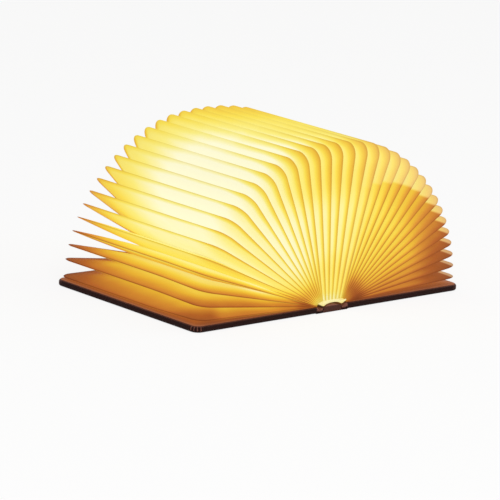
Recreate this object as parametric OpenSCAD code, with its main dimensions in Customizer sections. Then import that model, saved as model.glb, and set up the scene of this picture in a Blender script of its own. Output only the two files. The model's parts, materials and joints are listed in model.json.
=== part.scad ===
// Folding book lamp, lying open flat. X runs from the left cover to the right cover,
// Y along the spine from head to tail, Z up from the surface that the lamp lies on.

/* [Covers] */
// Length of the covers and the spine
cover_len = 212; // [190:1:230]
// Distance from a hinge line to the cover's fore edge
cover_w = 166.8; // [160:0.2:180]
// Radius of the covers' outer corners
corner_r = 9; // [4:1:14]
// Rounding of the covers' edges
edge_r = 2.2; // [1:0.1:3]
// Thickness of the board inside a cover
board_t = 4; // [3:0.2:5]
// Thickness of the leather
leather_t = 1.2; // [0.8:0.1:1.4]
// Width of the leather turned in over the board
turn_in = 12; // [8:1:20]

/* [Spine] */
// Half the distance between the two hinge lines
hinge_x = 13.2; // [13:0.1:14]
// Width of the leather fold between a hinge line and its cover
gutter_w = 7; // [6:0.5:8]
// Height of the spine block at its sides
spine_side_h = 4.8; // [4.6:0.1:5]
// Rise of the spine block's arched top
spine_rise = 2.4; // [2:0.1:2.6]

/* [Shade] */
// Number of paper leaves, an odd number so that one stands upright
leaves = 35; // [25:2:35]
// Length of a leaf along the spine
leaf_len = 211; // [190:0.5:211.5]
// Distance from the line that a leaf aims at to its folded outer edge
leaf_r = 166; // [150:0.5:166]
// Depth of a leaf's pocket, from its folded edge to its glued edges
leaf_depth = 50; // [40:1:52]
// Radius of the folded edge where it turns a corner
leaf_corner_r = 13; // [8:1:24]
// Thickness of the paper
paper_t = 0.4; // [0.2:0.05:0.45]
// How much closer the leaves stand near the covers than at the top
bunching = 0.15; // [0:0.01:0.3]
// Angle by which the shade sways to the right halfway up each side
sway = 1.5; // [-3:0.5:3]

/* [Light] */
// Length of the light core
core_len = 100; // [80:1:102]
// Width of the light core
core_w = 13.4; // [12:0.1:13.6]
// Height of the light core's tray
tray_h = 13; // [12:0.5:16]
// Number of LEDs in each of the two rows
leds_in_row = 12; // [6:1:14]

/* [Hidden] */
$fn = 48;
leaf_names = [for (k = [1:leaves]) str("leaf_", k < 10 ? "0" : "", k)];

leather_colour = [0.16, 0.07, 0.06];
paper_colour = [0.98, 0.86, 0.45];
cream_colour = [0.96, 0.90, 0.74];

cover_t = board_t + 2 * leather_t;
half_len = cover_len / 2;
slab_x = hinge_x + gutter_w;
fore_x = hinge_x + cover_w;
board_inset = leather_t + 0.4;
hinge_z = leather_t / 2;

// The spine block's top is an arc over its two sides
spine_half_w = hinge_x - leather_t / 2 - 0.1;
arch_r = (pow(spine_half_w, 2) + pow(spine_rise, 2)) / (2 * spine_rise);
arch_z = spine_side_h + spine_rise - arch_r;
spine_top = spine_side_h + spine_rise;

// Light core
tray_wall = 1.2;
tray_floor = 1.4;
tray_top = spine_top + tray_h;
core_half = core_len / 2;
led_board_t = 1.2;
screw_y = core_half - 4;
screw_r = 1;
screw_z = 4.6;
battery_len = 66;
battery_z = spine_top + tray_floor;
control_len = 16;
control_y = core_half - 22;
control_z = battery_z + 4;
led_len = 3.5;
led_w = 2.8;
led_h = 0.7;

// Leads from the control board to the charging board
lead_r = 0.6;
lead_y = core_half - 10;
lead_z = 3.4;
lead_slot = 4;
lead_channel_h = 1.6;

// Charging end
socket_w = 8.94;
socket_h = 3.26;
socket_len = 7.4;
charge_board_t = 0.8;
charge_board_z = leather_t + charge_board_t;
socket_z = charge_board_z + socket_h / 2;
charge_bay_y = half_len - 22;

// Magnets
magnet_r = 5;
magnet_t = 2;
magnet_x = fore_x - 16;
magnet_y = 60;

module leather() { color(leather_colour) children(); }
module card() { color([0.62, 0.58, 0.52]) children(); }
module cream() { color(cream_colour) children(); }
module steel() { color([0.75, 0.76, 0.78]) children(); }
module green_board() { color([0.10, 0.36, 0.20]) children(); }
module both_rows(y) { for (s = [-1, 1]) translate([0, s * y, 0]) children(); }

// Cover: drawn for the right side, with the hinge line along Y at x = hinge_x
module cover_outline(inset) {
    r = corner_r - inset;
    x0 = slab_x + inset;
    x1 = fore_x - inset;
    y1 = half_len - inset;
    translate([x0, -y1]) square([x1 - r - x0, 2 * y1]);
    translate([x0, -y1 + r]) square([x1 - x0, 2 * (y1 - r)]);
    for (s = [-1, 1]) translate([x1 - r, s * (y1 - r)]) circle(r);
}

// Half profile of an edge: flat top and bottom, round outside
module edge_profile(w) {
    square([w - edge_r, cover_t]);
    translate([0, edge_r]) square([w, cover_t - 2 * edge_r]);
    for (z = [edge_r, cover_t - edge_r]) translate([w - edge_r, z]) circle(edge_r);
}

module cover_slab() {
    xc = fore_x - corner_r;
    yc = half_len - corner_r;
    translate([slab_x, -yc, 0]) cube([xc - slab_x, 2 * yc, cover_t]);
    translate([xc, yc, 0]) rotate([90, 0, 0]) linear_extrude(2 * yc) edge_profile(corner_r);
    for (s = [0, 1]) mirror([0, s, 0]) {
        translate([slab_x, yc, 0]) rotate([90, 0, 90]) linear_extrude(xc - slab_x) edge_profile(corner_r);
        translate([xc, yc, 0]) rotate_extrude(angle = 90) edge_profile(corner_r);
    }
}

module gutter_strip() {
    translate([hinge_x, -half_len, 0]) cube([gutter_w + 1, cover_len, leather_t]);
    translate([hinge_x, half_len, hinge_z]) rotate([90, 0, 0]) cylinder(h = cover_len, r = leather_t / 2);
}

module window_outline(gap) {
    x0 = slab_x + 4 - gap;
    y1 = half_len - turn_in + gap;
    translate([x0, -y1]) square([fore_x - turn_in + gap - x0, 2 * y1]);
}

module cover_leather() {
    leather() difference() {
        union() {
            cover_slab();
            gutter_strip();
        }
        translate([0, 0, leather_t]) linear_extrude(board_t) cover_outline(board_inset);
        translate([0, 0, leather_t + board_t]) linear_extrude(leather_t + 1) window_outline(0);
    }
}

module magnet_places() {
    both_rows(magnet_y) translate([magnet_x, 0, leather_t + board_t - magnet_t]) children();
}

module cover_board() {
    card() difference() {
        translate([0, 0, leather_t]) linear_extrude(board_t) cover_outline(board_inset);
        magnet_places() cylinder(h = magnet_t + 1, r = magnet_r);
    }
}

module endpaper() {
    cream() translate([0, 0, leather_t + board_t]) linear_extrude(leather_t + 0.1) window_outline(-0.1);
}

module magnets() { steel() magnet_places() cylinder(h = magnet_t, r = magnet_r); }

// Spine block: an arched section, run along Y
module arch_section(inset) {
    intersection() {
        translate([0, arch_z]) circle(arch_r - inset, $fn = 96);
        translate([inset - spine_half_w, inset]) square([2 * (spine_half_w - inset), spine_top]);
    }
}

module along_spine(len) { translate([0, len / 2, 0]) rotate([90, 0, 0]) linear_extrude(len) children(); }

module socket_outline(grow) {
    r = socket_h / 2 + grow;
    x = (socket_w - socket_h) / 2;
    square([2 * x, 2 * r], center = true);
    for (s = [-1, 1]) translate([s * x, 0]) circle(r);
}

module socket_hole() {
    translate([0, half_len + 1, socket_z]) rotate([90, 0, 0]) linear_extrude(socket_len + 4) socket_outline(0.15);
}

module spine_leather() {
    leather() difference() {
        along_spine(cover_len) arch_section(0);
        along_spine(cover_len - 2 * leather_t) arch_section(leather_t);
        both_rows(screw_y) translate([0, 0, screw_z]) cylinder(h = spine_top, r = screw_r);
        socket_hole();
        translate([-lead_slot / 2, lead_y - lead_slot / 2, 4]) cube([lead_slot, lead_slot, spine_top]);
    }
}

module spine_board() {
    card() difference() {
        along_spine(cover_len - 2 * leather_t - 0.04) arch_section(leather_t + 0.02);
        both_rows(screw_y) translate([0, 0, screw_z]) cylinder(h = spine_top, r = screw_r);
        translate([-7.2, charge_bay_y, 0]) cube([14.4, half_len - charge_bay_y, 4.6]);
        socket_hole();
        translate([-lead_slot / 2, lead_y - lead_slot / 2, lead_z - lead_channel_h / 2]) {
            cube([lead_slot, lead_slot, spine_top]);
            cube([lead_slot, charge_bay_y - lead_y + lead_slot, lead_channel_h]);
        }
    }
}

// Fan geometry. A leaf is numbered by its step from the upright middle leaf, and a
// glued edge lies half a step away. Angles are measured from upright, left negative.
half_count = (leaves - 1) / 2;
fan_edge_angle = 86;
fan_z = 2.2;
fan_shift = hinge_x - 2.2;
rest_z = cover_t + 0.6;

// Direction of a leaf's outer edge as seen from the middle of the spine
function view_angle(step) =
    let(v = min(1, abs(step) / half_count), past = abs(step) > half_count ? 2.2 : 0)
    sign(step) * (past + fan_edge_angle * (v + bunching / PI * sin(180 * v))) + sway * sin(180 * v);

// Where the line of a leaf meets the height fan_z: the leaves of each half aim at their hinge
function aim_x(step) = sign(step) * fan_shift * min(1, abs(view_angle(step)) / 17);

// The folded edge lies leaf_r from the point that the leaf aims at
function tip_reach(step) =
    let(a = view_angle(step), c = abs(aim_x(step)) * sin(abs(a)))
    c + sqrt(leaf_r * leaf_r - pow(aim_x(step), 2) + c * c);
function tip_x(step) = tip_reach(step) * sin(view_angle(step));
function tip_z(step) = fan_z + tip_reach(step) * cos(view_angle(step));

// Low leaves aim higher, so that they lie on the cover and not in it
function aim_z(step) = fan_z + (rest_z + 0.6 - fan_z) * pow(max(0, abs(view_angle(step)) - 40) / 50, 2);
function lean(step) = atan2(tip_x(step) - aim_x(step), tip_z(step) - aim_z(step));

// Point of a leaf at a distance from the point that it aims at
function leaf_point(step, reach) =
    [aim_x(step) + reach * sin(lean(step)), aim_z(step) + reach * cos(lean(step))];

// Roots of the leaves stand in order on an arch over the binding
root_half_w = 18;
root_z = cover_t + 0.9;
root_rise = 5.4;
function root_point(step) =
    let(t = 90 * step / (half_count + 0.5))
    [root_half_w * sin(t), root_z + root_rise * cos(t)];

// One leaf: a V-shaped section carried round three sides, from the root at the head end
// out along the head face, round a corner, along the fore edge and back at the tail end.
// A station is [reach of the fold, its y, reach of the glued edges, their y].
bend_reach = 26;
corner_steps = 5;
fold_end = leaf_len / 2;
glue_corner_r = 8;
out_reach = leaf_r - leaf_corner_r;
glue_reach = leaf_r - leaf_depth;
head_stations = concat(
    [[0, fold_end, 0, fold_end - leaf_depth],
     [bend_reach, fold_end, bend_reach, fold_end - leaf_depth]],
    [for (i = [0:corner_steps])
        let(a = 90 * i / corner_steps)
        [out_reach + leaf_corner_r * sin(a),
         fold_end - leaf_corner_r * (1 - cos(a)),
         glue_reach - glue_corner_r * (1 - sin(a)),
         fold_end - leaf_depth - glue_corner_r * (1 - cos(a))]]);
stations = concat(
    [for (s = head_stations) [s[0], -s[1], s[2], -s[3]]],
    [for (i = [len(head_stations) - 1:-1:0]) head_stations[i]]);

// A section is worked out in the XZ plane and carried to its place along Y
function unit(v) = v / norm(v);
function lift(p, y) = [p[0], y, p[1]];
function on_leaf(step, reach) = reach == 0 ? root_point(step) : leaf_point(step, reach);

leaf_gap = 0.12;
apex_inset = 3.2;

// Six points: fold, left glued edge outside and inside, inner crease, right inside and outside
function leaf_section(step, s) =
    let(
        fold = lift(on_leaf(step, s[0]), s[1]),
        left = lift(on_leaf(step - 0.5, s[2]), s[3]),
        right = lift(on_leaf(step + 0.5, s[2]), s[3]),
        across = unit(right - left),
        middle = (left + right) / 2,
        crease = fold + apex_inset * unit(middle - fold))
    [fold, left + leaf_gap * across, left + (leaf_gap + paper_t) * across,
     crease, right - (leaf_gap + paper_t) * across, right - leaf_gap * across];

function leaf_points(step) = [for (s = stations) each leaf_section(step, s)];
ring = 6;
// The diagonals of a sheet's inside match those of its outside
leaf_faces = concat(
    [for (i = [0:len(stations) - 2], j = [0:ring - 1])
        let(a = ring * i + j, b = ring * i + (j + 1) % ring)
        each j == 2 || j == 5 ? [[a, b, a + ring], [b, b + ring, a + ring]]
                              : [[a, b, b + ring], [a, b + ring, a + ring]]],
    [for (e = [0, 1])
        let(o = e * ring * (len(stations) - 1), f = [[0, 3, 1], [1, 3, 2], [0, 5, 3], [5, 4, 3]])
        each [for (t = f) e == 0 ? [for (n = t) o + n] : [for (n = [2, 1, 0]) o + t[n]]]]);

module leaf(k) {
    color(paper_colour) polyhedron(points = leaf_points(k - 1 - half_count), faces = leaf_faces, convexity = 6);
}

// Cream band over the spine block, from one gutter to the other
binding_half_w = 17.4;
binding_rise = 5.0;
arch_steps = 12;
function band_top(t) = [binding_half_w * sin(t), root_z - 0.3 + binding_rise * cos(t)];
function block_top(x) = arch_z + sqrt(arch_r * arch_r - x * x);
module binding_section() {
    polygon(concat(
        [for (i = [-arch_steps:arch_steps]) band_top(90 * i / arch_steps)],
        [for (i = [arch_steps:-1:-arch_steps])
            let(x = spine_half_w * i / arch_steps) [x, block_top(x) + 0.02]]));
}

module binding() {
    cream() difference() {
        along_spine(leaf_len) binding_section();
        translate([-core_w / 2 - 0.3, -core_half - 1, 0]) cube([core_w + 0.6, core_len + 2, 30]);
    }
}

// Light core
module tray_ledge(y0, len, z_top, h) {
    for (s = [-1, 1]) translate([s * (core_w / 2 - tray_wall - 0.4) - 0.5, y0, z_top - h]) cube([1, len, h]);
}

module core_tray() {
    color([0.93, 0.93, 0.91]) {
        difference() {
            translate([-core_w / 2, -core_half, spine_top]) cube([core_w, core_len, tray_h]);
            translate([tray_wall - core_w / 2, tray_wall - core_half, battery_z])
                cube([core_w - 2 * tray_wall, core_len - 2 * tray_wall, tray_h]);
            both_rows(screw_y) translate([0, 0, spine_top - 1]) cylinder(h = 4, r = screw_r + 0.1);
            translate([-lead_slot / 2, lead_y - lead_slot / 2, spine_top - 1]) cube([lead_slot, lead_slot, 4]);
        }
        tray_ledge(control_y, control_len, control_z, control_z - battery_z + 0.1);
        tray_ledge(-core_half + 1, core_len - 2, tray_top - led_board_t, 1);
    }
}

module tray_screws() {
    steel() both_rows(screw_y) {
        translate([0, 0, screw_z]) cylinder(h = battery_z - screw_z, r = screw_r);
        translate([0, 0, battery_z]) difference() {
            cylinder(h = 1.2, r = 1.9);
            translate([0, 0, 0.5]) {
                cube([2.4, 0.5, 2], center = true);
                cube([0.5, 2.4, 2], center = true);
            }
        }
    }
}

module battery() {
    color([0.30, 0.42, 0.62]) {
        translate([-5, -core_half + 8, battery_z]) cube([10, battery_len, 9]);
        translate([-3, -core_half + 8 + battery_len, battery_z + 3]) cube([6, 2, 3]);
    }
}

module control_board() {
    green_board() translate([-5.4, control_y, control_z]) cube([10.8, control_len, 1]);
    color([0.12, 0.12, 0.13]) translate([0, control_y, control_z + 1]) {
        translate([-2.5, 2, 0]) cube([5, 5, 1]);
        translate([-4.5, 10, 0]) cube([2.9, 1.6, 1]);
        translate([1.5, 9, 0]) cube([3, 4, 2]);
    }
}

module power_leads() {
    y_end = charge_bay_y + 3;
    color([0.70, 0.10, 0.10]) for (s = [-1, 1]) translate([s * 0.9, 0, 0]) {
        translate([0, lead_y, lead_z]) cylinder(h = control_z - lead_z, r = lead_r);
        translate([0, y_end, lead_z]) rotate([90, 0, 0]) cylinder(h = y_end - lead_y, r = lead_r);
        translate([0, y_end, charge_board_z]) cylinder(h = lead_z - charge_board_z, r = lead_r);
        for (y = [lead_y, y_end]) translate([0, y, lead_z]) sphere(lead_r);
    }
}

module led_board() {
    green_board() translate([tray_wall - core_w / 2 + 0.1, tray_wall - core_half + 0.1, tray_top - led_board_t])
        cube([core_w - 2 * tray_wall - 0.2, core_len - 2 * tray_wall - 0.2, led_board_t]);
}

module leds() {
    pitch = (core_len - 12) / (leds_in_row - 1);
    color([1.0, 0.95, 0.6]) for (s = [-1, 1], i = [0:leds_in_row - 1])
        translate([s * led_w, 6 - core_half + i * pitch, tray_top + led_h / 2])
            cube([led_w, led_len, led_h], center = true);
}

module dome_section(inset) {
    r = core_w / 2 - inset;
    intersection() {
        circle(r);
        translate([-r, 0]) square([2 * r, r]);
    }
}

module diffuser() {
    color([0.97, 0.96, 0.92, 0.8]) translate([0, 0, tray_top]) difference() {
        along_spine(core_len) dome_section(0);
        along_spine(core_len - 2 * tray_wall) dome_section(tray_wall);
    }
}

// Charging end
module charge_board() {
    green_board() translate([-6.8, charge_bay_y + 1.5, leather_t]) cube([13.6, 18, charge_board_t]);
    color([0.12, 0.12, 0.13]) translate([-2.5, charge_bay_y + 5, charge_board_z]) cube([5, 5, 1]);
}

module charge_socket() {
    translate([0, half_len - 0.2, socket_z]) {
        steel() rotate([90, 0, 0]) difference() {
            linear_extrude(socket_len) socket_outline(0);
            translate([0, 0, -1]) linear_extrude(socket_len) socket_outline(-0.3);
        }
        color([0.12, 0.12, 0.13]) translate([-3.3, -socket_len + 0.9, -0.35]) cube([6.6, socket_len - 1.9, 0.7]);
    }
}

spine_leather();
spine_board();
binding();
core_tray();
tray_screws();
battery();
control_board();
power_leads();
led_board();
leds();
diffuser();
charge_board();
charge_socket();
mirror([1, 0, 0]) cover_leather();  // left_cover_leather
mirror([1, 0, 0]) cover_board();  // left_cover_board
mirror([1, 0, 0]) endpaper();  // left_endpaper
mirror([1, 0, 0]) magnets();  // left_magnets
cover_leather();  // right_cover_leather
cover_board();  // right_cover_board
endpaper();  // right_endpaper
magnets();  // right_magnets
for (k = [1:leaves]) leaf(k);
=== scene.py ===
"""Folding book lamp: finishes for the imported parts, and the paper, cloth and leather pieces over them."""

import json
import math

import bmesh
import bpy
from bpy.props import FloatProperty, FloatVectorProperty, PointerProperty
from mathutils import Matrix, Vector
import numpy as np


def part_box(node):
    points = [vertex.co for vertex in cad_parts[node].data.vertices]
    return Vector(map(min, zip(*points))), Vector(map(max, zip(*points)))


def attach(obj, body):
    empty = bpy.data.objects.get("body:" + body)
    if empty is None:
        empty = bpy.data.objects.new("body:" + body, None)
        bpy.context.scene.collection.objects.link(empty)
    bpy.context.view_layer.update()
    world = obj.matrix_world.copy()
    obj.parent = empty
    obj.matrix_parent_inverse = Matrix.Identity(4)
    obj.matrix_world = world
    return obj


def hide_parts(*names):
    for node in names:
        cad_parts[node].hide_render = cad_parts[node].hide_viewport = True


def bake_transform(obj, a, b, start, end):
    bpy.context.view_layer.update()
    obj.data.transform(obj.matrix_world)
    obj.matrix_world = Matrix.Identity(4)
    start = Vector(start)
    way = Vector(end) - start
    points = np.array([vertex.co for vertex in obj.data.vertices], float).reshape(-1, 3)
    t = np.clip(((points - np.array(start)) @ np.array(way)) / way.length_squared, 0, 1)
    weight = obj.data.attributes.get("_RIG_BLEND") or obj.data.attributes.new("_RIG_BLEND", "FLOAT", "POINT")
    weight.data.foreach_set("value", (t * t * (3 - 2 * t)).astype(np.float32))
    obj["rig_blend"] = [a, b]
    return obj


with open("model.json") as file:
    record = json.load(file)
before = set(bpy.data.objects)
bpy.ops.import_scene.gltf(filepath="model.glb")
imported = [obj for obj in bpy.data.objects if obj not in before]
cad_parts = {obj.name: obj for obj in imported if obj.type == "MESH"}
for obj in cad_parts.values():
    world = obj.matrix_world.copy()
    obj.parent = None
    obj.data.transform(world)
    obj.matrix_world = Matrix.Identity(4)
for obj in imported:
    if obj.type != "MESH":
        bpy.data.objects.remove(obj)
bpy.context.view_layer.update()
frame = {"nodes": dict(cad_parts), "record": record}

bl_info = {
    "name": "Folding Book Lamp",
    "version": (1, 0, 0),
    "blender": (4, 5, 0),
    "location": "View3D > Sidebar > Book Lamp",
    "description": "Pleated shade, binding, leather and finishes of a folding book lamp",
    "category": "Object",
}

MM = 0.001
LEAVES = 35
MIDDLE_LEAF = (LEAVES + 1) // 2
LEAF_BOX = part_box(f"leaf_{MIDDLE_LEAF}")
FAN_HEIGHT = 2.2 * MM
SIDES = ((-1, "left"), (1, "right"))


# Settings


def display(red, green, blue):
    """A colour as it looks on a screen, 0 to 255, as the linear colour that a shader takes."""
    parts = (red / 255, green / 255, blue / 255)
    return tuple(p / 12.92 if p <= 0.04045 else ((p + 0.055) / 1.055) ** 2.4 for p in parts)


def length(name, description, metres):
    return FloatProperty(name=name, description=description, default=metres, unit="LENGTH")


def angle(name, description, degrees):
    return FloatProperty(
        name=name, description=description, default=math.radians(degrees), subtype="ANGLE"
    )


def colour(name, description, *shown):
    return FloatVectorProperty(
        name=name, description=description, default=display(*shown), subtype="COLOR", min=0.0, max=1.0
    )


class ShadeSettings(bpy.types.PropertyGroup):
    leaf_length: length(
        "Leaf length", "Length of a leaf along the spine", LEAF_BOX[1].y - LEAF_BOX[0].y
    )
    fan_height: length("Fan height", "Height of the line that the leaves aim at", FAN_HEIGHT)
    reach: length(
        "Reach",
        "Distance from the line that a leaf aims at to its fold",
        LEAF_BOX[1].z - FAN_HEIGHT,
    )
    pocket_depth: length("Pocket depth", "Distance from a leaf's fold to its glued edges", 50 * MM)
    corner_radius: length("Corner radius", "Radius of the fold where it turns a corner", 13 * MM)
    edge_angle: angle("Edge angle", "Angle of the outermost leaves from upright", 86)
    bunching: FloatProperty(
        name="Bunching",
        description="How much closer the leaves stand near the covers than at the top",
        default=0.15,
    )
    sway: angle("Sway", "Angle by which the shade sways to the right halfway up each side", 1.5)
    hang_head: length("Hang, head", "How far the low left leaves hang at their head end", 3.0 * MM)
    hang_tail: length("Hang, tail", "How far the low left leaves hang at their tail end", 1.2 * MM)
    hang_lowest: length(
        "Hang, lowest", "How much further the lowest left leaf hangs behind its head end", 4.0 * MM
    )
    paper: length("Paper thickness", "Thickness of the shade's paper", 0.2 * MM)
    bulge: FloatProperty(
        name="Bulge",
        description="How far a leaf's sheets bow out, as a share of the space between leaves",
        default=0.05,
    )


class CoverSettings(bpy.types.PropertyGroup):
    flap_margin: length("Flap margin", "Bare leather round the shade's flap on a cover", 1.6 * MM)
    flap_corner: length("Flap corner", "Size of the flap's rounded corners", 7.5 * MM)
    flap_paper: length("Flap thickness", "Thickness of the flap's paper", 0.12 * MM)
    binding_overhang: length(
        "Binding overhang", "How far the binding band passes the leaves at each end", 0.7 * MM
    )
    gutter_drop: length("Gutter drop", "Depth of the fold between the spine and a cover", 2.4 * MM)
    gutter_leather: length("Gutter leather", "Thickness of the leather in that fold", 1.9 * MM)


class FinishSettings(bpy.types.PropertyGroup):
    paper_tint: colour("Paper tint", "Multiplies the colours of the shade's paper", 255, 255, 255)
    paper_glow: FloatProperty(
        name="Paper glow",
        description="Share of the shade's colours that is given off as light",
        default=0.66,
    )
    leather: colour("Leather", "The leather where it is darkest", 22, 5, 4)
    leather_light: colour("Leather, light", "The leather between its creases", 44, 15, 11)
    # Colour of the leather's painted highlights on the gutters and spine end, of its worn and highlit top
    # edges, and of its pleats
    leather_wear_and_highlight: colour("Leather, folded", "The leather along its edges and folds", 142, 92, 80)
    cloth: colour("Binding", "The binding band where it is brightest", 255, 247, 190)
    # Both endpaper colours hold the shade's light painted on the paper; the edge colour is its painted shade
    endpaper: colour("Endpaper", "The paper on the covers under the shade", 204, 118, 48)
    endpaper_shaded_edge: colour("Endpaper edge", "That paper at the edges of a cover", 150, 84, 48)
    board: colour("Boards", "The stiff boards inside the leather", 168, 156, 138)
    tray: colour("Tray", "The tray of the light core", 236, 235, 228)
    battery: colour("Battery", "The battery's wrap", 70, 106, 168)
    circuit: colour("Circuit boards", "The lacquer of the circuit boards", 20, 92, 52)
    lead: colour("Lead", "The sleeve of the lead", 176, 34, 30)
    steel: colour("Steel", "The screws and the magnets", 212, 214, 217)
    diffuser: colour("Diffuser", "The diffuser over the gaps between the LEDs", 255, 236, 160)
    led: colour("LEDs", "The LEDs where they are brightest", 255, 250, 214)


class StageSettings(bpy.types.PropertyGroup):
    turn: angle(
        "Turn", "Angle of the camera round the lamp, from its head end towards its left cover", 43.5
    )
    rise: angle("Rise", "Angle of the camera above the table", 14.01)
    roll: angle("Roll", "Tilt of the camera about its line of sight", -4.03)
    distance: length("Distance", "Distance from the camera to the spine", 3.779)
    lens: FloatProperty(
        name="Lens", description="Focal length in millimetres", default=270.05, unit="CAMERA"
    )
    key_light: FloatProperty(
        name="Key light", description="Power of the large soft lamp", default=24.0, unit="POWER"
    )
    world_light: FloatProperty(
        name="World light", description="Strength of the light from all round", default=0.55
    )


# Shader maths


class Level:
    """A value that varies over a surface. Arithmetic on it adds Math nodes."""

    def __init__(self, nodes, socket):
        self.nodes = nodes
        self.socket = socket

    def math(self, operation, *others):
        return self.nodes.math(operation, self, *others)

    def __add__(self, other):
        return self.math("ADD", other)

    def __radd__(self, other):
        return self.nodes.math("ADD", other, self)

    def __sub__(self, other):
        return self.math("SUBTRACT", other)

    def __rsub__(self, other):
        return self.nodes.math("SUBTRACT", other, self)

    def __mul__(self, other):
        return self.math("MULTIPLY", other)

    def __rmul__(self, other):
        return self.nodes.math("MULTIPLY", other, self)

    def __truediv__(self, other):
        return self.math("DIVIDE", other)

    def __rtruediv__(self, other):
        return self.nodes.math("DIVIDE", other, self)

    def __pow__(self, other):
        return self.math("POWER", other)

    def __rpow__(self, other):
        return self.nodes.math("POWER", other, self)

    def size(self):
        return self.math("ABSOLUTE")

    def sine(self):
        return self.math("SINE")

    def larger(self, other):
        return self.math("MAXIMUM", other)

    def limited(self):
        return self.larger(0.0).math("MINIMUM", 1.0)

    def smooth(self, start, end):
        """0 up to start, 1 from end on, and a soft step between them."""
        t = ((self - start) / (end - start)).limited()
        return t * t * (3.0 - 2.0 * t)

    def bell(self, centre, width):
        """1 at centre, falling away on both sides over width."""
        t = (self - centre) / width
        return (t * t * -1).math("EXPONENT")


class Nodes:
    """The nodes of one material or world."""

    def __init__(self, tree):
        self.tree = tree

    def node(self, kind, settings=None, values=None, out=0):
        """Adds a node: its settings first, then the values or links of its sockets."""
        node = self.tree.nodes.new(kind)
        for key, value in (settings or {}).items():
            if key == "stops":
                ramp = node.color_ramp
                while len(ramp.elements) < len(value):
                    ramp.elements.new(1.0)
                for element, (place, shade) in zip(ramp.elements, value):
                    element.position = place
                    element.color = (*shade, 1.0)
            else:
                setattr(node, key, value)
        for key, value in (values or {}).items():
            if isinstance(value, Level):
                self.tree.links.new(value.socket, node.inputs[key])
            else:
                node.inputs[key].default_value = value
        return Level(self, node.outputs[out])

    def math(self, operation, *terms):
        return self.node("ShaderNodeMath", {"operation": operation}, dict(enumerate(terms)))

    def white_for_camera(self):
        """1 for what looks straight at a surface, mirrors it or sees it through, and otherwise 0."""
        paths = self.node("ShaderNodeLightPath").socket.node.outputs
        camera, glossy, through = (
            Level(self, paths[f"Is {kind} Ray"]) for kind in ("Camera", "Glossy", "Transmission")
        )
        return (camera + glossy + through).limited()


class Finish(Nodes):
    """A material with one Principled shader."""

    def __init__(self, name, **constants):
        self.material = bpy.data.materials.new(name)
        self.material.use_nodes = True
        super().__init__(self.material.node_tree)
        self.shader = self.tree.nodes["Principled BSDF"]
        for socket, value in constants.items():
            self.shader.inputs[socket.replace("_", " ")].default_value = value

    def link(self, **sockets):
        for socket, value in sockets.items():
            self.tree.links.new(value.socket, self.shader.inputs[socket.replace("_", " ")])

    def place(self):
        """The point in the lamp's frame, in metres."""
        return self.node("ShaderNodeTexCoord", out="Object")

    def axes(self):
        """The point's X, Y and Z in millimetres."""
        split = self.node("ShaderNodeSeparateXYZ", values={0: self.place()})
        outputs = split.socket.node.outputs
        return [Level(self, outputs[i]) / MM for i in range(3)]

    def attribute(self, name):
        return self.node("ShaderNodeAttribute", {"attribute_name": name}, out="Fac")

    def noise(self, scale, detail=3.0, stretch=(1.0, 1.0, 1.0)):
        """Noise of this many features to a metre, 0 to 1."""
        place = self.node("ShaderNodeMapping", {"vector_type": "POINT"}, {0: self.place(), 3: stretch})
        values = {"Vector": place, "Scale": scale, "Detail": detail}
        return self.node("ShaderNodeTexNoise", values=values)

    def cells(self, scale):
        """Distance from the edges between cells, with this many cells to a metre."""
        values = {"Vector": self.place(), "Scale": scale}
        return self.node("ShaderNodeTexVoronoi", {"feature": "DISTANCE_TO_EDGE"}, values)

    def ramp(self, level, stops):
        """A colour for each level from 0 to 1."""
        return self.node("ShaderNodeValToRGB", {"stops": stops}, {0: level})

    def curve(self, level, stops):
        """A number for each level, straight between the stops."""
        low, high = stops[0][0], stops[-1][0]
        grey = [((x - low) / (high - low), (y, y, y)) for x, y in stops]
        ramp = self.ramp((level - low) / (high - low), grey)
        return self.node("ShaderNodeSeparateColor", values={0: ramp})

    def mix(self, share, first, second, blend="MIX"):
        """Second over first, by share. A colour is a tuple or a level."""
        first, second = ((*c, 1.0) if isinstance(c, tuple) else c for c in (first, second))
        settings = {"data_type": "RGBA", "blend_type": blend}
        return self.node("ShaderNodeMix", settings, {0: share, 6: first, 7: second}, out=2)

    def lit_through(self, glow, surface, light):
        """Shows a colour partly by the light that falls on it and partly by light from behind."""
        self.link(
            Base_Color=self.mix(1.0, glow, (surface,) * 3, "MULTIPLY"),
            Emission_Color=self.mix(1.0, glow, (light,) * 3, "MULTIPLY"),
        )

    def bump(self, height, depth):
        """Raises the surface by height, 0 to 1, times depth in metres."""
        self.link(Normal=self.node("ShaderNodeBump", values={"Distance": depth, "Height": height}))


# Finishes

# Light on the fore edge of the shade. The first number counts leaves from the upright middle one
FORE_EDGE_LIGHT = (
    (-17.5, 0.46),
    (-16.5, 0.52),
    (-15.5, 0.60),
    (-14.5, 0.72),
    (-13.5, 0.82),
    (-12, 0.94),
    (-8, 1.10),
    (-4, 1.10),
    (-1, 1.12),
    (2, 1.11),
    (5, 1.10),
    (8, 1.08),
    (12.5, 0.98),
    (14, 0.80),
    (16, 0.54),
    (17.5, 0.44),
)

# Light on the right half of the head face, inside its half shadow
HALF_SHADOW_LIGHT = (
    (2, 0.86),
    (4, 0.78),
    (6, 0.73),
    (8, 0.71),
    (10, 0.66),
    (12, 0.62),
    (14, 0.51),
    (17.5, 0.37),
)

# The half shadow's round edge on the head face, in millimetres
HALF_SHADOW_X = 61.5
HALF_SHADOW_Z = 15.7
HALF_SHADOW_RADIUS = 107.0
HALF_SHADOW_BLUR = 1.8

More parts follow.
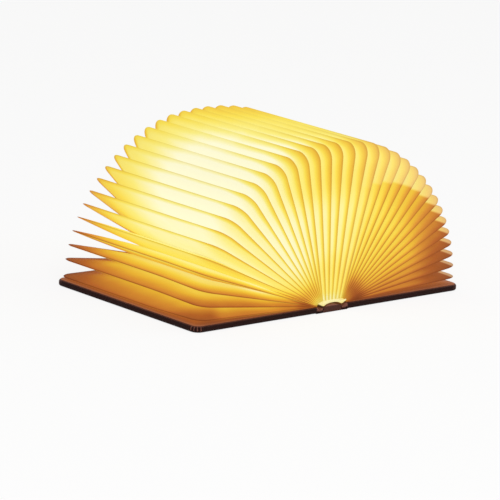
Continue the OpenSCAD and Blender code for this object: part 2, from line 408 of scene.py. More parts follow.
# Colours of the lit paper, from the darkest to the brightest
PAPER_COLOURS = (
    (0.00, display(70, 28, 13)),
    (0.14, display(142, 77, 40)),
    (0.28, display(186, 107, 50)),
    (0.42, display(222, 154, 62)),
    (0.56, display(243, 201, 70)),
    (0.70, display(251, 229, 94)),
    (0.84, display(252, 241, 142)),
    (1.00, display(255, 252, 222)),
)
# Paler colour painted where light falls on the head face outside the half shadow
LIT_PAPER_OUTSIDE_SHADOW = display(252, 240, 190)
# Deeper yellow painted on the light through the low left leaves
LOW_LEAF_LIGHT_TINT = (1.0, 0.98, 0.65)
# Painted shade along each fold, where the leaf's two sheets meet
FOLD_SHADE_BROWN = (0.34, 0.06, 0.0)


class LeafPoint:
    """Where a point of the shade's paper lies. X, Y, Z, the depth behind the fold and the reach
    from the roots are in millimetres. The step counts leaves from the middle one, left negative.
    The rest are shares from 0 to 1."""

    def __init__(self, paper):
        self.paper = paper
        self.x, self.y, self.z = paper.axes()
        self.step = paper.attribute("step")
        self.depth = paper.attribute("depth")
        self.reach = paper.attribute("reach")
        self.facing_left = paper.attribute("side").smooth(0.2, -0.2)
        self.low = self.step.smooth(-12.5, -14.5)
        self.top = self.step.smooth(-8, -1)
        self.root_ring = self.reach.bell(24, 13 - 4 * self.low) * self.step.size().smooth(1.5, 7)
        self.head_end = self.y.smooth(-20, -60)
        # Where the painted shade at the folds is softer: from the middle leaves rightwards, towards the tail
        # end
        self.soft_fold_shade = self.step.smooth(-10, -4) * self.y.smooth(-75, 5)
        across = (self.x - HALF_SHADOW_X) ** 2.0
        up = (self.z - HALF_SHADOW_Z) ** 2.0
        inside = ((across + up) ** 0.5).smooth(
            HALF_SHADOW_RADIUS + HALF_SHADOW_BLUR, HALF_SHADOW_RADIUS - HALF_SHADOW_BLUR
        )
        self.half_shadow = inside * self.step.smooth(1.5, 4.5) * self.head_end


def fan_light(at):
    """Light along the fan. It falls off towards the tail end and, at the top, towards the head."""
    light = at.paper.curve(at.step, FORE_EDGE_LIGHT)
    light = light * (1.0 - (0.28 - 0.07 * at.top) * at.y.smooth(0, 100))
    light = light * (1.0 - (0.15 + 0.16 * at.top) * at.y.smooth(-55, -104))
    light = light * (1.0 - 0.19 * at.step.smooth(-7, 1) * at.y.smooth(-75, 0))
    tail_tips = at.y.smooth(97, 104.5)
    return light * (1.0 - 0.26 * tail_tips)


def root_light(at):
    """Head and tail faces: a dark ring round the roots, and light from the binding inside it."""
    ring_depth = 0.30 + 0.14 * at.step.bell(-13, 1.3) - 0.24 * at.step.smooth(-15, -16.5)
    light = (1.0 - ring_depth * at.root_ring) * (1.0 - 0.10 * at.reach.smooth(70, 34))
    lowest_leaf = at.step.smooth(-16, -17) * at.reach.smooth(150, 125)
    low_leaves = at.low * at.reach.smooth(115, 60) * at.reach.smooth(26, 40)
    middle_leaves = at.step.bell(-1, 5) * at.reach.smooth(140, 95)
    near_binding = at.reach.smooth(20, 10) * at.step.smooth(5, 3)
    light = light * (1.0 + 0.24 * lowest_leaf) * (1.0 + 0.20 * low_leaves)
    return light * (1.0 + 0.16 * middle_leaves) * (1.0 + 0.16 * near_binding)


def half_shadow_light(at):
    """Right half of the head face: darker at its roots and towards its rim."""
    light = at.paper.curve(at.step, HALF_SHADOW_LIGHT) * (1.0 - 0.42 * at.root_ring)
    return light * (1.0 - (0.16 + 0.28 * at.step.smooth(6, 15)) * at.reach.smooth(95, 165))


def fold_light(at):
    """Across a leaf: dark at its fold and lighter with depth. The low left leaves are seen from
    above, and there the light grows over the whole depth."""
    near_corner = at.y.smooth(-66, -98)
    spread = 2.0 + 0.05 * at.reach + 5.0 * near_corner * at.reach.smooth(105, 150)
    rise = (at.depth / spread).smooth(0.0, 1.0)
    contrast = 0.22 + 0.13 * near_corner.larger(at.top) * at.reach.smooth(4, 50)
    contrast = contrast * (1.0 - 0.5 * at.soft_fold_shade)
    light = 1.0 - (1.0 - at.low) * contrast * (1.0 - rise)
    upper_sheet = at.low * (1.0 - at.facing_left)
    light = light * (1.0 + upper_sheet * ((at.depth / 42.0).limited() ** 0.8 * 0.66 - 0.46))
    lowest_rim = at.step.smooth(-15.2, -17) * at.y.smooth(-50, -95) * at.reach.smooth(135, 155)
    low_tail_tips = at.step.smooth(-8, -13) * at.y.smooth(55, 104)
    under_sheet = at.low * at.facing_left * at.depth.smooth(1.0, 14.0)
    light = light * (1.0 - 0.24 * lowest_rim) * (1.0 - 0.30 * low_tail_tips)
    return light * (1.0 - 0.30 * under_sheet)


def shade_paper(look):
    """Thin folded paper lit from inside."""
    paper = Finish("shade paper", Roughness=0.8, Specular_IOR_Level=0.08, Emission_Strength=1.0)
    at = LeafPoint(paper)
    light = fan_light(at) * root_light(at)
    light = light + (half_shadow_light(at) - light) * at.half_shadow
    mottle = (paper.noise(60.0, 4.0) - 0.5) * 0.05
    glow = paper.ramp((light * fold_light(at) + mottle).limited(), PAPER_COLOURS)
    # Painted light: paler on the right half of the head face, outside the half shadow
    pale = at.step.smooth(0, 8) * at.head_end * (1.0 - at.half_shadow)
    glow = paper.mix(pale * 0.32, glow, LIT_PAPER_OUTSIDE_SHADOW)
    # Painted light: the low left leaves glow a deeper yellow
    glow = paper.mix(at.step.smooth(-11.5, -14) * 0.5, glow, LOW_LEAF_LIGHT_TINT, "MULTIPLY")
    # Painted shade: a thin brown line along each fold, stronger in the half shadow and on the low leaves
    fold_shade = at.depth.smooth(2.4, 0.2) * (0.20 + 0.14 * at.half_shadow + 0.25 * at.low)
    glow = paper.mix(fold_shade * (1.0 - 0.7 * at.soft_fold_shade), glow, FOLD_SHADE_BROWN, "MULTIPLY")
    glow = paper.mix(1.0, glow, tuple(look.paper_tint), "MULTIPLY")
    paper.lit_through(glow, 0.36, look.paper_glow)
    fibre = paper.noise(900.0, 5.0, (1.0, 0.35, 1.0))
    paper.bump(fibre, 0.06 * MM)
    return paper.material


def cover_leather(look):
    """Dark brown leather: pebbled grain, creases and pleats round the corners. Its top edges are lighter by
    wear and a painted highlight, and painted highlights light its gutters and the spine's end.
    """
    leather = Finish("cover leather", Specular_IOR_Level=0.07)
    x, y, z = leather.axes()
    from_spine = x.size()
    grain = leather.cells(700.0)
    crease = leather.noise(70.0, 6.0)
    cloud = (leather.noise(14.0, 3.0) * 0.5 + crease * 0.6 - 0.05).limited()
    plain = leather.mix(cloud, tuple(look.leather), tuple(look.leather_light))
    # Lighter along the covers' top edges: wear and a painted highlight, broken up by noise
    top_edge_wear_and_glint = z.smooth(5.3, 6.3) * (1.0 - leather.noise(160.0) * 0.8) * 0.6
    # Painted highlight on the tops of the leather gutters beside the spine
    gutter = from_spine.smooth(21.6, 20.2) * from_spine.smooth(12.6, 13.4) * z.smooth(1.5, 4.0)
    # Painted light on the spine's end: lighter all over, with a painted highlight along its top
    spine_edge = from_spine.smooth(13.0, 12.0) * (z.smooth(5.4, 6.9) * 0.7 + 0.22)

    # The leather is tucked in small pleats round the covers' outer corners
    past_side = from_spine - 170.0
    past_end = y.size() - 96.0
    at_corner = past_side.smooth(0.3, 2.0) * past_end.smooth(0.3, 2.0) * z.smooth(1.2, 2.6)
    turn = past_end.math("ARCTAN2", past_side)
    pleats = (turn * 22.0 + crease * 16.0).sine().smooth(0.3, 1.0) * at_corner

    # The painted highlights on the gutters and the spine's end, and lighter lines along the pleats
    folded = gutter * 0.85 + spine_edge + pleats * 0.62
    leather.link(
        Base_Color=leather.mix(top_edge_wear_and_glint.larger(folded), plain, tuple(look.leather_wear_and_highlight)),
        Roughness=0.45 + crease * 0.25,
    )
    leather.bump(grain.smooth(0.0, 0.22) * 0.6 + crease * 0.8 - pleats * 1.2, 0.22 * MM)
    return leather.material


def binding_cloth(look):
    """Cream cloth tape, lit through from inside."""
    cloth = Finish("binding cloth", Roughness=0.85, Emission_Strength=1.0)
    x, y, z = cloth.axes()
    warp = (x * 8.0).sine() * 0.5 + 0.5
    weft = (y * 8.0).sine() * 0.5 + 0.5
    weave = (warp * weft + cloth.noise(1500.0) * 0.4).limited()
    light = 0.55 + 0.3 * cloth.noise(90.0) + z.smooth(6.0, 11.0) * 0.25
    light = (light - y.smooth(-100, -20) * 0.1).limited()
    stops = (
        (0.0, display(150, 96, 50)),
        (0.5, display(236, 196, 110)),
        (0.8, display(252, 236, 150)),
        (1.0, tuple(look.cloth)),
    )
    cloth.lit_through(cloth.ramp(light, stops), 0.42, 0.55)
    cloth.bump(weave, 0.12 * MM)
    return cloth.material


def endpaper_finish(look):
    """Laid paper under the shade, with the shade's light painted on it as a glow and painted shade darker
    towards the cover's edges.
    """
    paper = Finish("endpaper", Roughness=0.8, Emission_Strength=1.0)
    x, y, _ = paper.axes()
    # Painted shade: darker towards the cover's edges, away from the shade's light
    edge = x.size().smooth(160, 182).larger(y.size().smooth(82, 104))
    light = (0.7 - edge * 0.75 + paper.noise(50.0, 4.0) * 0.3).limited()
    stops = ((0.0, tuple(look.endpaper_shaded_edge)), (1.0, tuple(look.endpaper)))
    paper.lit_through(paper.ramp(light, stops), 0.36, 0.6)
    paper.bump(paper.noise(1200.0, 4.0), 0.05 * MM)
    return paper.material


def darker(colour, share):
    return tuple(part * share for part in colour)


def plain_finish(name, colour, rough, grain, depth, least=0.82, **constants):
    """A moulded, drawn or pressed part: slight colour variation and a fine surface grain."""
    finish = Finish(name, **constants)
    cloud = finish.noise(120.0, 4.0)
    finish.link(
        Base_Color=finish.mix(cloud, darker(colour, least), tuple(colour)),
        Roughness=rough + (cloud - 0.5) * 0.15,
    )
    finish.bump(finish.noise(grain, 3.0), depth)
    return finish.material


def brushed_steel(look):
    """Drawn steel with fine lines along Y."""
    steel = Finish("brushed steel", Metallic=1.0)
    lines = steel.noise(2400.0, 2.0, (1.0, 0.05, 1.0))
    steel.link(
        Base_Color=steel.mix(lines, darker(look.steel, 0.76), tuple(look.steel)),
        Roughness=0.22 + lines * 0.2,
    )
    steel.bump(lines, 0.02 * MM)
    return steel.material


def circuit_board(look):
    """Green lacquered board with faint copper tracks."""
    board = Finish("circuit board", Coat_Weight=0.3)
    x, y, _ = board.axes()
    tracks = ((x * 2.6).sine() * (y * 1.7).sine()).size().smooth(0.10, 0.04)
    board.link(
        Base_Color=board.mix(tracks * 0.7, tuple(look.circuit), display(66, 140, 84)),
        Roughness=0.35 + board.noise(200.0) * 0.1,
    )
    board.bump(tracks, 0.05 * MM)
    return board.material


def frosted_dome(look):
    """Frosted diffuser, lit from inside, and brightest over each LED."""
    dome = Finish("frosted diffuser", Roughness=0.6, Emission_Strength=0.9)
    _, y, _ = dome.axes()
    first_led, led_pitch = -44.0, 8.0
    between = ((y - first_led) * (math.pi / led_pitch)).sine().size()
    glow = dome.mix(between, display(255, 246, 196), tuple(look.diffuser))
    dome.link(Base_Color=glow, Emission_Color=glow)
    dome.bump(dome.noise(1600.0), 0.04 * MM)
    return dome.material


def led_lens(look):
    """Small bright lens, lit from inside."""
    led = Finish("led", Roughness=0.3, Emission_Strength=1.0)
    glow = led.mix(led.noise(800.0), display(255, 236, 150), tuple(look.led))
    led.link(Base_Color=glow, Emission_Color=glow)
    return led.material


SLOT_FINISHES = {
    "leather": cover_leather,
    "board": lambda look: plain_finish("grey board", look.board, 0.9, 700.0, 0.15 * MM),
    "cream_cloth": binding_cloth,
    "tray": lambda look: plain_finish("tray plastic", look.tray, 0.5, 900.0, 0.03 * MM, 0.95),
    "steel": brushed_steel,
    "battery_wrap": lambda look: plain_finish(
        "battery wrap", look.battery, 0.3, 300.0, 0.04 * MM, Coat_Weight=0.4
    ),
    "circuit": circuit_board,
    "lead": lambda look: plain_finish("lead sleeve", look.lead, 0.45, 900.0, 0.03 * MM),
    "led": led_lens,
    "frosted": frosted_dome,
    "endpaper": endpaper_finish,
    "shade_paper": shade_paper,
}
MADE_FINISHES = {}


def finish_for(slot):
    """The material of a slot, made once."""
    if slot not in MADE_FINISHES:
        MADE_FINISHES[slot] = SLOT_FINISHES[slot](bpy.context.scene.lamp_finish)
    return MADE_FINISHES[slot]


# Shade


def soft_step(value, start, end):
    """0 up to start, 1 from end on, and a soft step between them."""
    t = min(1.0, max(0.0, (value - start) / (end - start)))
    return t * t * (3 - 2 * t)


class Fan:
    """Where the leaves stand, in metres and radians. A step counts leaves from the upright
    middle one, left negative, and a glued edge lies half a step away."""

    half_count = (LEAVES - 1) / 2

    # How far from the middle the low leaves' roots stand, and the angle by which they get there
    shift = 11.0 * MM
    shift_angle = math.radians(17)

    # Angle between the outermost folds and their outer glued edges
    past_edge = math.radians(2.2)

    # The line that the leaves aim at rises to this height over the last part of the fan
    rest_height = 7.6 * MM
    low_angle = math.radians(40)
    low_range = math.radians(50)

    # A leaf starts at root_reach, and its glued edges keep beside its fold as far as bend_reach
    root_reach = 10.0 * MM
    bend_reach = 26.0 * MM

    # Radius of the glued edges' corners, and steps along a leaf's three sides
    glue_corner = 8.0 * MM
    side_steps = 14
    corner_steps = 8
    fore_steps = 16

    def __init__(self, shade):
        self.shade = shade

    def view_angle(self, step):
        """Angle of a fold from upright, seen from the middle of the spine."""
        shade = self.shade
        share = min(1.0, abs(step) / self.half_count)
        past = self.past_edge if abs(step) > self.half_count else 0.0
        spread = past + shade.edge_angle * (share + shade.bunching / math.pi * math.sin(math.pi * share))
        side = (step > 0) - (step < 0)
        return side * spread + shade.sway * math.sin(math.pi * share)

    def aim(self, step):
        """The point, x and z, that a leaf points away from."""
        view = abs(self.view_angle(step))
        side = (step > 0) - (step < 0)
        low = max(0.0, view - self.low_angle) / self.low_range
        height = self.shade.fan_height
        return (
            side * self.shift * min(1.0, view / self.shift_angle),
            height + (self.rest_height - height) * low**2,
        )

    def lean(self, step):
        """Angle of a leaf from upright."""
        view = self.view_angle(step)
        aim_x, aim_z = self.aim(step)
        across = abs(aim_x) * math.sin(abs(view))
        tip = across + math.sqrt(self.shade.reach**2 - aim_x**2 + across**2)
        height = self.shade.fan_height
        return math.atan2(tip * math.sin(view) - aim_x, height + tip * math.cos(view) - aim_z)

    def on_leaf(self, step, reach, y):
        """The point on a leaf. The lowest left leaves hang a little."""
        shade = self.shade
        aim_x, aim_z = self.aim(step)
        lean = self.lean(step)
        low = soft_step(step, -12.5, -16.0)
        lowest = soft_step(step, -15.7, -17.0)
        head = soft_step(y, -30 * MM, -105 * MM)
        hang = low * (shade.hang_tail + (shade.hang_head - shade.hang_tail) * head)
        hang += lowest * shade.hang_lowest * (1 - head)
        height = aim_z + reach * math.cos(lean) - hang * reach / shade.reach
        return Vector((aim_x + reach * math.sin(lean), y, height))

    def stations(self):
        """Sections from the root at the head end, round the two corners, to the root at the tail
        end: reach and y of the fold, then reach and y of the glued edges."""
        shade = self.shade
        fold_y = shade.leaf_length / 2
        glue_y = fold_y - shade.pocket_depth
        bend = self.bend_reach
        out = shade.reach - shade.corner_radius
        glue_out = shade.reach - shade.pocket_depth - self.glue_corner
        tail = []
        for i in range(self.side_steps + 1):
            reach = self.root_reach + (out - self.root_reach) * i / self.side_steps
            glue = reach if reach < bend else bend + (reach - bend) * (glue_out - bend) / (out - bend)
            tail.append((reach, fold_y, glue, glue_y))
        for i in range(1, self.corner_steps + 1):
            turn = math.pi / 2 * i / self.corner_steps
            outwards, back = math.sin(turn), 1 - math.cos(turn)
            tail.append(
                (
                    out + shade.corner_radius * outwards,
                    fold_y - shade.corner_radius * back,
                    glue_out + self.glue_corner * outwards,
                    glue_y - self.glue_corner * back,
                )
            )
        reach, y, glue, glue_end = tail[-1]
        shares = (2 * i / self.fore_steps - 1 for i in range(1, self.fore_steps))
        fore = [(reach, y * share, glue, glue_end * share) for share in shares]
        head = [(reach, -y, glue, -glue_y) for reach, y, glue, glue_y in tail]
        return head + fore + tail[::-1]


# Places of the rows of a leaf's sheet, from its fold to its glued edge
SHEET_SHARES = (0.0, 0.012, 0.04, 0.09, 0.16, 0.26, 0.4, 0.6, 0.8, 1.0)

# Half the width of a fold, the depth over which it widens, and the gap between glued edges
FOLD_HALF_WIDTH = 0.22 * MM
FOLD_DEPTH = 0.5 * MM
GLUE_GAP = 0.10 * MM


def leaf_mesh(fan, number):
    """One folded leaf: a grid that runs round three sides, with the fold along its middle."""
    step = number - MIDDLE_LEAF
    stations = fan.stations()
    columns = len(stations) - 1
    rows = len(SHEET_SHARES) - 1
    sections = []
    for fold_reach, fold_y, glue_reach, glue_y in stations:
        fold = fan.on_leaf(step, fold_reach, fold_y)
        left = fan.on_leaf(step - 0.5, glue_reach, glue_y)
        right = fan.on_leaf(step + 0.5, glue_reach, glue_y)
        sections.append((fold, left, right, fold_reach))
    bm = bmesh.new()
    bmesh.ops.create_grid(bm, x_segments=columns, y_segments=2 * rows, size=1.0)
    layers = {name: bm.verts.layers.float.new(name) for name in ("step", "depth", "reach", "side")}
    for vert in bm.verts:
        fold, left, right, reach = sections[round((vert.co.x + 1) / 2 * columns)]
        row = round(vert.co.y * rows)
        share = SHEET_SHARES[abs(row)]
        side = (row > 0) - (row < 0)
        glued = right if side > 0 else left
        across = (right - left).normalized()
        width = (right - left).length
        depth = (glued - fold).length * share
        bow = fan.shade.bulge * width * 4 * share * (1 - share)
        blunt = min(FOLD_HALF_WIDTH, width / 8) * min(1.0, depth / FOLD_DEPTH) * (1 - share)
        vert.co = fold.lerp(glued - across * side * GLUE_GAP, share) + across * side * (bow + blunt)
        vert[layers["step"]] = step + 0.5 * side * share
        vert[layers["depth"]] = depth / MM
        vert[layers["reach"]] = reach / MM
        vert[layers["side"]] = side
    bmesh.ops.recalc_face_normals(bm, faces=bm.faces)
    return bm


def new_piece(name, bm, slot, smooth=True):
    """Makes an object of a bmesh, with the slot's finish."""
    mesh = bpy.data.meshes.new(name)
    bm.to_mesh(mesh)
    bm.free()
    if smooth:
        mesh.shade_smooth()
    piece = bpy.data.objects.new(name, mesh)
    bpy.context.scene.collection.objects.link(piece)
    mesh.materials.append(finish_for(slot))
    return piece


def give_thickness(piece, thickness):
    wall = piece.modifiers.new("Thickness", "SOLIDIFY")
    wall.thickness = thickness
    wall.offset = -1.0


def face_up(bm):
    """Makes an open sheet's faces look up."""
    bmesh.ops.recalc_face_normals(bm, faces=bm.faces)
    if sum(face.normal.z for face in bm.faces) < 0:
        bmesh.ops.reverse_faces(bm, faces=bm.faces)


def joint_facts(name):
    """Centre, in the XZ plane, and ratio to the left cover's hinge, of a joint."""
    behaviour = frame["record"]["behaviour"]
    joint = next(j for j in behaviour["joints"] if j["name"] == name)
    ratio = next((c["ratio"] for c in behaviour["couplings"] if c["joint"] == name), 1.0)
    return joint["pos_m"][0], joint["pos_m"][2], ratio


def fold_shut(piece, body, joint, targets, full_turn):
    """Blends a piece so that, as the covers shut, each vertex turns to its own distance from
    the middle plane. targets holds that x for each vertex."""
    centre_x, centre_z, _ = joint_facts(joint)
    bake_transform(piece, "spine", body, (0, 0, 0), (0, 0, 1))
    shares = []
    for vert, target in zip(piece.data.vertices, targets):
        across, up = vert.co.x - centre_x, vert.co.z - centre_z
        radius = math.hypot(across, up)
        now = math.atan2(across, up)
        then = math.asin(max(-1.0, min(1.0, (target - centre_x) / radius)))
        shares.append((then - now) / full_turn)
    piece.data.attributes["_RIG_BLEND"].data.foreach_set("value", shares)


# Half the thickness of the stack of leaves in the shut book
STACK_HALF_WIDTH = 7.1 * MM


def stack_shut(piece, body):
    """Blends a leaf so that it stands in its own place in the stack when the covers are shut."""
    steps = [value.value for value in piece.data.attributes["step"].data]
    targets = [STACK_HALF_WIDTH * step / (LEAVES / 2) for step in steps]
    joint = body + "_hinge"
    fold_shut(piece, body, joint, targets, joint_facts(joint)[2] * math.pi / 2)


class LAMP_OT_shade(bpy.types.Operator):
    """Folds the paper leaves of the shade"""

    bl_idname = "book_lamp.shade"
    bl_label = "Shade"

    def execute(self, context):
        shade = context.scene.lamp_shade
        fan = Fan(shade)
        for number in range(1, LEAVES + 1):
            if number == MIDDLE_LEAF:
                continue
            piece = new_piece(f"paper_leaf_{number:02d}", leaf_mesh(fan, number), "shade_paper")
            body = f"leaf_{number:02d}"
            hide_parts(body)
            stack_shut(piece, body)
            give_thickness(piece, shade.paper)

        # Each sheet of the middle leaf moves with the leaf beside it
        for side, name in SIDES:
            bm = leaf_mesh(fan, MIDDLE_LEAF)
            layer = bm.verts.layers.float["side"]
            spare = [v for v in bm.verts if v[layer] * side < 0]
            bmesh.ops.delete(bm, geom=spare, context="VERTS")
            piece = new_piece(f"paper_leaf_{MIDDLE_LEAF}_{name}", bm, "shade_paper")
            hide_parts(f"leaf_{MIDDLE_LEAF}")
            stack_shut(piece, f"leaf_{MIDDLE_LEAF + side}")
            give_thickness(piece, shade.paper)
        return {"FINISHED"}


# Covers and spine


class LAMP_OT_flaps(bpy.types.Operator):
    """Glues the outermost sheet of the shade flat on each cover"""

    bl_idname = "book_lamp.flaps"
    bl_label = "Flaps"

    def execute(self, context):
        covers = context.scene.lamp_covers
        far_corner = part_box("right_cover_leather")[1]
        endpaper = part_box("right_endpaper")
        inner_x = endpaper[0].x
        outer_x = far_corner.x - covers.flap_margin
        end_y = far_corner.y - covers.flap_margin
        lift = 0.05 * MM
        close = 0.1 * MM
        for side, name in SIDES:
            bm = bmesh.new()
            bmesh.ops.create_grid(bm, x_segments=20, y_segments=24, size=1.0)
            for vert in bm.verts:
                x = inner_x + (outer_x - inner_x) * (vert.co.x + 1) / 2
                vert.co = Vector((side * x, vert.co.y * end_y, endpaper[1].z + lift))
            corners = [
                v for v in bm.verts if abs(v.co.x) > outer_x - close and abs(v.co.y) > end_y - close
            ]
            bmesh.ops.bevel(
                bm,
                geom=corners,
                offset=covers.flap_corner,
                segments=6,
                profile=0.5,
                affect="VERTICES",
                material=-1,
            )
            face_up(bm)
            piece = new_piece(f"shade_flap_{name}", bm, "endpaper")
            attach(piece, name + "_cover")
            give_thickness(piece, covers.flap_paper)
        return {"FINISHED"}


class LAMP_OT_binding(bpy.types.Operator):
    """Lays the cloth binding band over the spine"""

    bl_idname = "book_lamp.binding"
    bl_label = "Binding"

    # Distance from the middle, height of the top and height of the underside, in millimetres
    profile = (
        (0.0, 12.0, 9.70),
        (2.2, 11.95, 9.65),
        (4.4, 11.8, 9.45),
        (6.4, 11.5, 9.15),
        (8.2, 11.1, 8.75),
        (9.8, 10.6, 8.1),
        (11.2, 10.1, 7.35),
        (12.4, 9.75, 7.0),
        (13.6, 9.6, 7.25),
        (14.9, 9.65, 7.9),
        (16.2, 9.9, 8.6),
        (17.4, 10.3, 9.3),
        (18.3, 10.6, 9.9),
    )

    # In the shut book the band is this much narrower
    shut_share = 7.6 / 17.4

    def execute(self, context):
        scene = context.scene
        half_length = scene.lamp_shade.leaf_length / 2 + scene.lamp_covers.binding_overhang
        columns = len(self.profile) - 1
        for side, name in SIDES:
            bm = bmesh.new()
            bmesh.ops.create_grid(bm, x_segments=columns, y_segments=48, size=1.0)
            underside = bm.verts.layers.float.new("underside")
            for vert in bm.verts:
                across, top, bottom = self.profile[round((vert.co.x + 1) / 2 * columns)]
                vert.co = Vector((side * across * MM, vert.co.y * half_length, top * MM))
                vert[underside] = bottom * MM
            face_up(bm)
            under = bmesh.ops.extrude_face_region(bm, geom=bm.faces[:])
            for vert in under["geom"]:
                if isinstance(vert, bmesh.types.BMVert):
                    vert.co.z = vert[underside]
            bm.verts.layers.float.remove(underside)
            bmesh.ops.recalc_face_normals(bm, faces=bm.faces)
            piece = new_piece(f"binding_{name}", bm, "cream_cloth", smooth=False)
            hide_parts("binding")
            cover = name + "_cover"
            targets = [vert.co.x * self.shut_share for vert in piece.data.vertices]
            fold_shut(piece, cover, cover + "_hinge", targets, -side * math.pi / 2)
        return {"FINISHED"}


class LAMP_OT_gutters(bpy.types.Operator):
    """Folds the leather gutters between the spine block and the covers"""

    bl_idname = "book_lamp.gutters"
    bl_label = "Gutters"

    # Width of the gap that the leather spans, and how far it stays clear of each side
    gap = 7.6 * MM
    clear = 0.5 * MM

    # Height of the leather at the spine, and how much higher it is at the cover
    height = 5.0 * MM
    climb = 1.0 * MM

    # The leather's outer edge, this wide, turns wholly with the cover
    turned_edge = 1.0 * MM

    def execute(self, context):
        covers = context.scene.lamp_covers
        spine_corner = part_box("spine_leather")[1]
        inner_x = spine_corner.x + self.clear
        width = self.gap - 2 * self.clear
        for side, name in SIDES:
            bm = bmesh.new()
            bmesh.ops.create_grid(bm, x_segments=14, y_segments=24, size=1.0)
            for vert in bm.verts:
                share = (vert.co.x + 1) / 2
                drop = covers.gutter_drop * math.sin(math.pi * share) ** 0.7
                vert.co = Vector(
                    (
                        side * (inner_x + width * share),
                        vert.co.y * spine_corner.y,
                        self.height + self.climb * share - drop,
                    )
                )
            face_up(bm)
            piece = new_piece(f"gutter_{name}", bm, "leather")
            turned_x = inner_x + width - self.turned_edge
            start, end = (side * inner_x, 0, 0), (side * turned_x, 0, 0)
            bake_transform(piece, "spine", name + "_cover", start, end)
            give_thickness(piece, covers.gutter_leather)
        return {"FINISHED"}


class LAMP_OT_finishes(bpy.types.Operator):
    """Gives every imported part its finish"""

    bl_idname = "book_lamp.finishes"
    bl_label = "Finishes"

    def execute(self, context):
        slots = {part["node"]: part["material_slot"] for part in frame["record"]["subparts"]}
        for node, piece in frame["nodes"].items():
            piece.data.materials.clear()
            piece.data.materials.append(finish_for(slots[node]))
        return {"FINISHED"}


# Stage

FLOOR_SIZE = 12.0
FLOOR_HEIGHT = -0.2 * MM
FLOOR_WHITE = 0.85

# The spine's middle, which the camera turns round, and where it shows in the 500 pixel picture
SPINE_MIDDLE = Vector((0, 0, 6.4 * MM))
PICTURE_HALF_WIDTH = 250
SPINE_RIGHT_OF_CENTRE = 10.1
SPINE_BELOW_CENTRE = 31.2


def floor_finish():
    """Pale floor that is close to white for the camera and keeps the lamp's shadow."""
    floor = Finish("pale floor", Roughness=0.9, Specular_IOR_Level=0.1)
    floor.link(Base_Color=floor.mix(floor.noise(3.0), (0.86, 0.86, 0.86), (0.88, 0.88, 0.88)))
    white = floor.node("ShaderNodeEmission", values={"Color": (1.0, 1.0, 1.0, 1.0), "Strength": 1.0})
    share = floor.white_for_camera() * FLOOR_WHITE
    lit = Level(floor, floor.shader.outputs[0])
    mixed = floor.node("ShaderNodeMixShader", values={0: share, 1: lit, 2: white})
    floor.tree.links.new(mixed.socket, floor.tree.nodes["Material Output"].inputs["Surface"])
    return floor.material


def lay_floor(scene):
    bm = bmesh.new()
    bmesh.ops.create_grid(bm, x_segments=2, y_segments=2, size=FLOOR_SIZE)
    bmesh.ops.translate(bm, verts=bm.verts, vec=(0, 0, FLOOR_HEIGHT))
    mesh = bpy.data.meshes.new("floor")
    bm.to_mesh(mesh)
    bm.free()
    floor = bpy.data.objects.new("floor", mesh)
    scene.collection.objects.link(floor)
    mesh.materials.append(floor_finish())


def light_world(scene, strength):
    """Soft light from all round, and plain white behind the lamp."""
    scene.world = bpy.data.worlds.new("studio")
    scene.world.use_nodes = True
    sky = Nodes(scene.world.node_tree)
    sky.tree.nodes.remove(sky.tree.nodes["Background"])
    soft = sky.node(
        "ShaderNodeBackground", values={"Color": (1.0, 0.99, 0.97, 1.0), "Strength": strength}
    )
    white = sky.node("ShaderNodeBackground", values={"Color": (1.0, 1.0, 1.0, 1.0), "Strength": 1.0})
    share = sky.white_for_camera()
    mixed = sky.node("ShaderNodeMixShader", values={0: share, 1: soft, 2: white})
    sky.tree.links.new(mixed.socket, sky.tree.nodes["World Output"].inputs["Surface"])


def hang_light(scene, name, place, size, power):
    """A large soft lamp that shines on the lamp's middle."""
    lamp = bpy.data.lights.new(name, "AREA")
    lamp.size = size
    lamp.energy = power
    light = bpy.data.objects.new(name, lamp)
    scene.collection.objects.link(light)
    light.location = place
    light.rotation_mode = "QUATERNION"
    light.rotation_quaternion = (Vector((0, 0, 0.05)) - place).to_track_quat("-Z", "Y")


def set_camera(scene, stage):
    """Turns the camera round the spine, then aims it so that the spine shows in its place."""
    camera = bpy.data.objects.new("camera", bpy.data.cameras.new("camera"))
    scene.collection.objects.link(camera)
    camera.data.lens = stage.lens
    camera.data.sensor_width = 36.0
    camera.data.clip_end = 100.0
    turn, rise, roll = stage.turn, stage.rise, stage.roll
    level_right = Vector((math.cos(turn), -math.sin(turn), 0))
    level_up = Vector(
        (math.sin(turn) * math.sin(rise), math.cos(turn) * math.sin(rise), math.cos(rise))
    )
    place = SPINE_MIDDLE + level_right.cross(level_up) * stage.distance
    right = level_right * math.cos(roll) - level_up * math.sin(roll)
    up = level_right * math.sin(roll) + level_up * math.cos(roll)
    half_view = camera.data.sensor_width / 2 / stage.lens * stage.distance
    pixel = half_view / PICTURE_HALF_WIDTH
    aim = SPINE_MIDDLE + (up * SPINE_BELOW_CENTRE - right * SPINE_RIGHT_OF_CENTRE) * pixel
    back = (place - aim).normalized()
    right = up.cross(back).normalized()
    up = back.cross(right)
    turned = Matrix((right, up, back)).transposed().to_4x4()
    camera.matrix_world = Matrix.Translation(place) @ turned
    scene.camera = camera


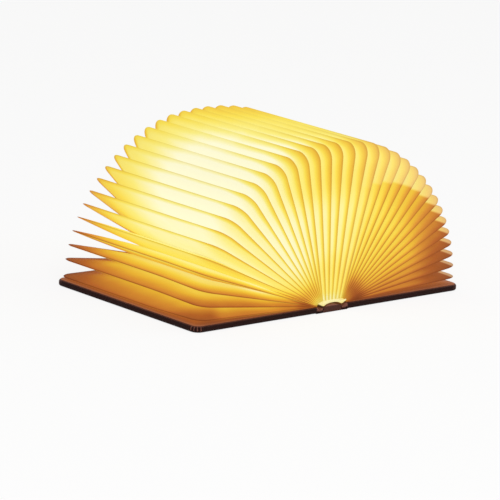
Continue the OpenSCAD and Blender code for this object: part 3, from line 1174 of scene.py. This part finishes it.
class LAMP_OT_stage(bpy.types.Operator):
    """Sets the floor, the lights and the camera"""

    bl_idname = "book_lamp.stage"
    bl_label = "Stage"

    def execute(self, context):
        scene = context.scene
        stage = scene.lamp_stage
        scene.view_settings.view_transform = "Standard"
        lay_floor(scene)
        light_world(scene, stage.world_light)
        hang_light(scene, "key light", Vector((-1.1, -1.3, 1.9)), 1.4, stage.key_light)
        hang_light(scene, "fill light", Vector((1.6, -0.9, 1.2)), 1.6, stage.key_light * 0.35)
        set_camera(scene, stage)
        return {"FINISHED"}


class LAMP_PT_build(bpy.types.Panel):
    """Lists the steps that dress the lamp"""

    bl_idname = "LAMP_PT_build"
    bl_label = "Book Lamp"
    bl_space_type = "VIEW_3D"
    bl_region_type = "UI"
    bl_category = "Book Lamp"

    def draw(self, context):
        layout = self.layout
        for step in STEPS:
            layout.operator(step.bl_idname)
        scene = context.scene
        for settings in (scene.lamp_shade, scene.lamp_covers, scene.lamp_finish, scene.lamp_stage):
            for name in settings.__annotations__:
                layout.prop(settings, name)


STEPS = (
    LAMP_OT_finishes,
    LAMP_OT_shade,
    LAMP_OT_flaps,
    LAMP_OT_binding,
    LAMP_OT_gutters,
    LAMP_OT_stage,
)
CLASSES = (ShadeSettings, CoverSettings, FinishSettings, StageSettings, *STEPS, LAMP_PT_build)


def register():
    for cls in CLASSES:
        bpy.utils.register_class(cls)
    bpy.types.Scene.lamp_shade = PointerProperty(type=ShadeSettings)
    bpy.types.Scene.lamp_covers = PointerProperty(type=CoverSettings)
    bpy.types.Scene.lamp_finish = PointerProperty(type=FinishSettings)
    bpy.types.Scene.lamp_stage = PointerProperty(type=StageSettings)


def unregister():
    del bpy.types.Scene.lamp_stage
    del bpy.types.Scene.lamp_finish
    del bpy.types.Scene.lamp_covers
    del bpy.types.Scene.lamp_shade
    for cls in reversed(CLASSES):
        bpy.utils.unregister_class(cls)


def main():
    register()
    bpy.ops.book_lamp.finishes()
    bpy.ops.book_lamp.shade()
    bpy.ops.book_lamp.flaps()
    bpy.ops.book_lamp.binding()
    bpy.ops.book_lamp.gutters()
    bpy.ops.book_lamp.stage()


if __name__ == "__main__":
    main()
